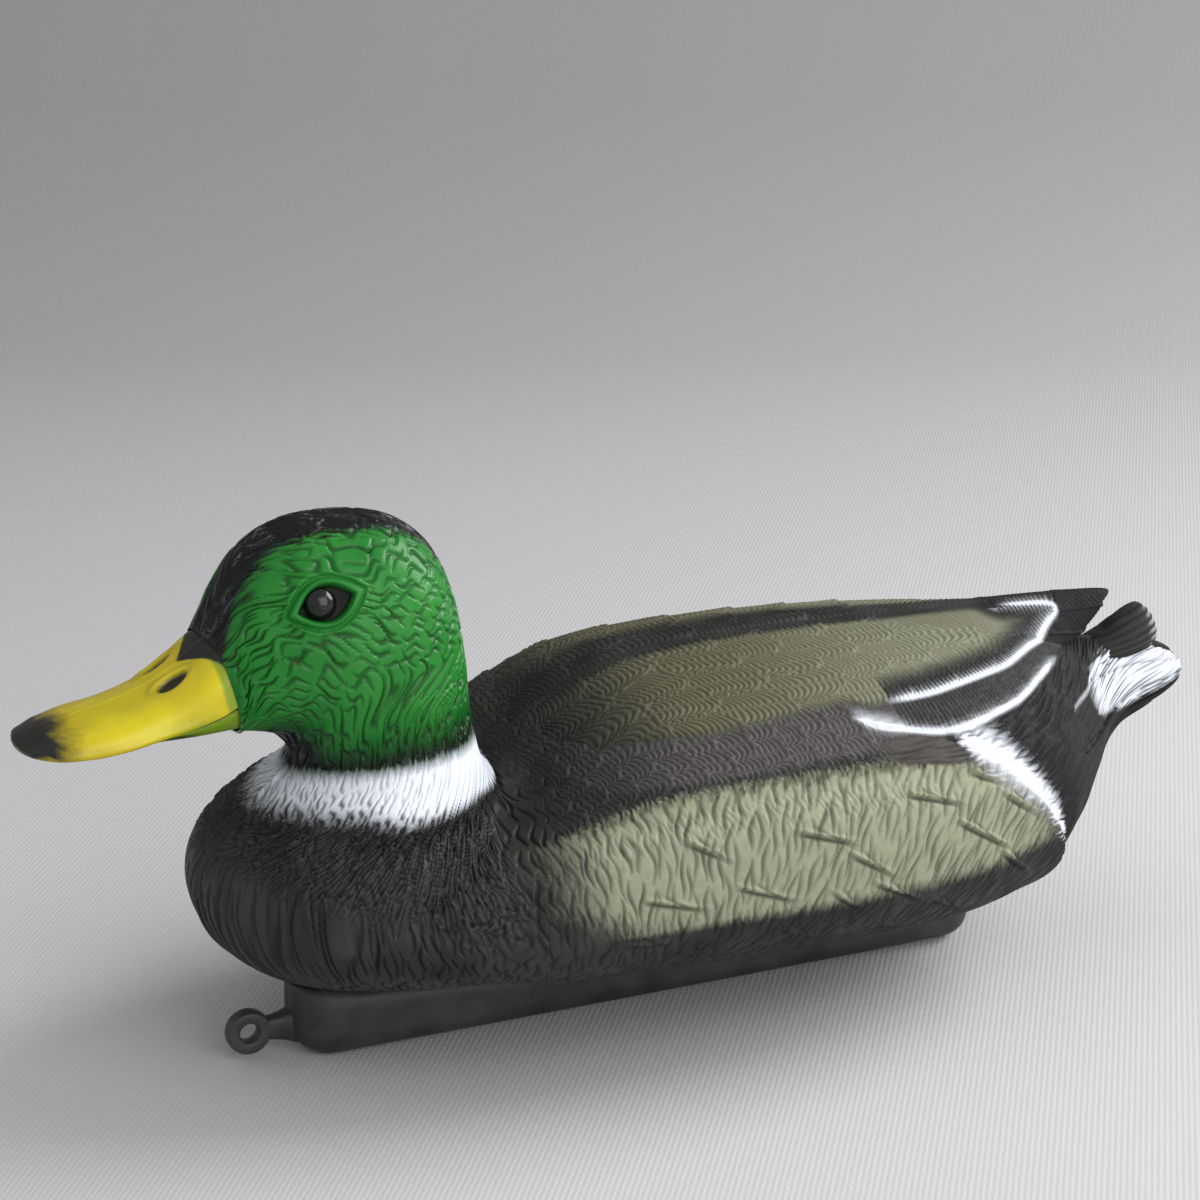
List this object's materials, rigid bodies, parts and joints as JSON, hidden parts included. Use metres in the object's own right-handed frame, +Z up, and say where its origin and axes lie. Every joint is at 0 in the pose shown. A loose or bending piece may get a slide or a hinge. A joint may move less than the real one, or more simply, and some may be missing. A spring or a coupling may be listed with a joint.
{
  "type": "floating duck decoy",
  "caption": "Hollow moulded mallard drake decoy that floats upright on a detachable weighted keel with an anchor-line eyelet.",
  "frame": {"origin": "under the middle of the duck's length, on the centre plane and on the flat underside of the keel", "axes": "+X from the bill to the tail, so the duck faces -X; +Y to the duck's right; +Z up"},
  "size_m": [0.38, 0.1506, 0.161],
  "materials": {
    "painted_shell": "moulded plastic, hand-sprayed matt feather paint: green head, yellow bill, brown breast, grey flanks",
    "eye_bead": "gloss black",
    "retainer": "natural nylon",
    "keel_plastic": "charcoal moulded plastic",
    "peg_plastic": "black acetal",
    "ballast_iron": "raw cast"
  },
  "bodies": {
    "keel": {"keel_left_shell": "keel_plastic", "keel_right_shell": "keel_plastic", "keel_pegs": "peg_plastic", "ballast_bar": "ballast_iron"},
    "duck": {"left_body_shell": "painted_shell", "right_body_shell": "painted_shell", "left_eye": "eye_bead", "right_eye": "eye_bead", "eye_retainers": "retainer"}
  },
  "joints": [
    {"name": "keel_release", "type": "slide", "parent": "keel", "child": "duck", "axis": [0, 0, 1], "range_m": [0, 0.045]}
  ]
}
